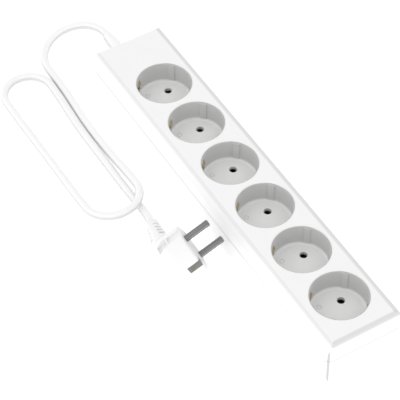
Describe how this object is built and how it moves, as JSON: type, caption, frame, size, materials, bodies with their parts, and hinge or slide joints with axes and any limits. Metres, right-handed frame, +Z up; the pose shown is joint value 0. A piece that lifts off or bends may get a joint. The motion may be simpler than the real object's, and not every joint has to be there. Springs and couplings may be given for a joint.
{
  "type": "power strip",
  "caption": "White power strip with a row of round earthed sockets in light grey wells, a white cord laid in a long loop and an angled round-pin plug.",
  "frame": {"origin": "centre of the housing's flat underside", "axes": "+Z up, +Y along the strip towards the end the cord leaves, +X across it, away from the cord's loop"},
  "size_m": [0.1246, 0.3728, 0.0414],
  "materials": {
    "white_plastic": "satin white moulded shell",
    "white_matte_plastic": "matt white moulding",
    "grey_plastic": "fine matt light grey moulding",
    "brass": "plain pressed strip",
    "contact_metal": "nickel-plated strip",
    "screw_steel": "zinc-plated",
    "pin_metal": "bright nickel-plated",
    "white_cord": "soft matt sheath",
    "white_soft_plastic": "soft satin moulding",
    "brown_insulation": "soft sheath",
    "blue_insulation": "soft sheath",
    "green_yellow_insulation": "soft sheath"
  },
  "bodies": {
    "housing": {"upper_housing": "white_plastic", "lower_housing": "white_plastic", "housing_screws": "screw_steel", "socket_insert_1": "grey_plastic", "socket_insert_2": "grey_plastic", "socket_insert_3": "grey_plastic", "socket_insert_4": "grey_plastic", "socket_insert_5": "grey_plastic", "socket_insert_6": "grey_plastic", "live_busbar": "brass", "neutral_busbar": "brass", "earth_busbar": "brass", "live_lead": "brown_insulation", "neutral_lead": "blue_insulation", "earth_lead": "green_yellow_insulation", "cord_clamp": "white_matte_plastic", "cord_clamp_screws": "screw_steel", "cord_gland": "white_cord", "power_cord": "white_cord", "plug_body": "white_soft_plastic", "plug_boot": "white_soft_plastic", "plug_carrier": "white_matte_plastic", "plug_pins": "pin_metal", "plug_earth_contacts": "contact_metal"},
    "earth_arm_1_left": {"earth_arm_1_left": "brass"},
    "earth_arm_1_right": {"earth_arm_1_right": "brass"},
    "earth_arm_2_left": {"earth_arm_2_left": "brass"},
    "earth_arm_2_right": {"earth_arm_2_right": "brass"},
    "earth_arm_3_left": {"earth_arm_3_left": "brass"},
    "earth_arm_3_right": {"earth_arm_3_right": "brass"},
    "earth_arm_4_left": {"earth_arm_4_left": "brass"},
    "earth_arm_4_right": {"earth_arm_4_right": "brass"},
    "earth_arm_5_left": {"earth_arm_5_left": "brass"},
    "earth_arm_5_right": {"earth_arm_5_right": "brass"},
    "earth_arm_6_left": {"earth_arm_6_left": "brass"},
    "earth_arm_6_right": {"earth_arm_6_right": "brass"}
  },
  "joints": [
    {"name": "arm_1_left_bend", "type": "hinge", "parent": "housing", "child": "earth_arm_1_left", "pos_m": [-0.01534, 0.11684, 0.0186], "axis": [-0.7071, -0.7071, 0], "range_deg": [0, 5], "stiffness_Nm_per_rad": 0.8},
    {"name": "arm_1_right_bend", "type": "hinge", "parent": "housing", "child": "earth_arm_1_right", "pos_m": [0.01534, 0.08616, 0.0186], "axis": [0.7071, 0.7071, 0], "range_deg": [0, 5], "stiffness_Nm_per_rad": 0.8},
    {"name": "arm_2_left_bend", "type": "hinge", "parent": "housing", "child": "earth_arm_2_left", "pos_m": [-0.01534, 0.07184, 0.0186], "axis": [-0.7071, -0.7071, 0], "range_deg": [0, 5], "stiffness_Nm_per_rad": 0.8},
    {"name": "arm_2_right_bend", "type": "hinge", "parent": "housing", "child": "earth_arm_2_right", "pos_m": [0.01534, 0.04116, 0.0186], "axis": [0.7071, 0.7071, 0], "range_deg": [0, 5], "stiffness_Nm_per_rad": 0.8},
    {"name": "arm_3_left_bend", "type": "hinge", "parent": "housing", "child": "earth_arm_3_left", "pos_m": [-0.01534, 0.02684, 0.0186], "axis": [-0.7071, -0.7071, 0], "range_deg": [0, 5], "stiffness_Nm_per_rad": 0.8},
    {"name": "arm_3_right_bend", "type": "hinge", "parent": "housing", "child": "earth_arm_3_right", "pos_m": [0.01534, -0.00384, 0.0186], "axis": [0.7071, 0.7071, 0], "range_deg": [0, 5], "stiffness_Nm_per_rad": 0.8},
    {"name": "arm_4_left_bend", "type": "hinge", "parent": "housing", "child": "earth_arm_4_left", "pos_m": [-0.01534, -0.01816, 0.0186], "axis": [-0.7071, -0.7071, 0], "range_deg": [0, 5], "stiffness_Nm_per_rad": 0.8},
    {"name": "arm_4_right_bend", "type": "hinge", "parent": "housing", "child": "earth_arm_4_right", "pos_m": [0.01534, -0.04884, 0.0186], "axis": [0.7071, 0.7071, 0], "range_deg": [0, 5], "stiffness_Nm_per_rad": 0.8},
    {"name": "arm_5_left_bend", "type": "hinge", "parent": "housing", "child": "earth_arm_5_left", "pos_m": [-0.01534, -0.06316, 0.0186], "axis": [-0.7071, -0.7071, 0], "range_deg": [0, 5], "stiffness_Nm_per_rad": 0.8},
    {"name": "arm_5_right_bend", "type": "hinge", "parent": "housing", "child": "earth_arm_5_right", "pos_m": [0.01534, -0.09384, 0.0186], "axis": [0.7071, 0.7071, 0], "range_deg": [0, 5], "stiffness_Nm_per_rad": 0.8},
    {"name": "arm_6_left_bend", "type": "hinge", "parent": "housing", "child": "earth_arm_6_left", "pos_m": [-0.01534, -0.10816, 0.0186], "axis": [-0.7071, -0.7071, 0], "range_deg": [0, 5], "stiffness_Nm_per_rad": 0.8},
    {"name": "arm_6_right_bend", "type": "hinge", "parent": "housing", "child": "earth_arm_6_right", "pos_m": [0.01534, -0.13884, 0.0186], "axis": [0.7071, 0.7071, 0], "range_deg": [0, 5], "stiffness_Nm_per_rad": 0.8}
  ]
}
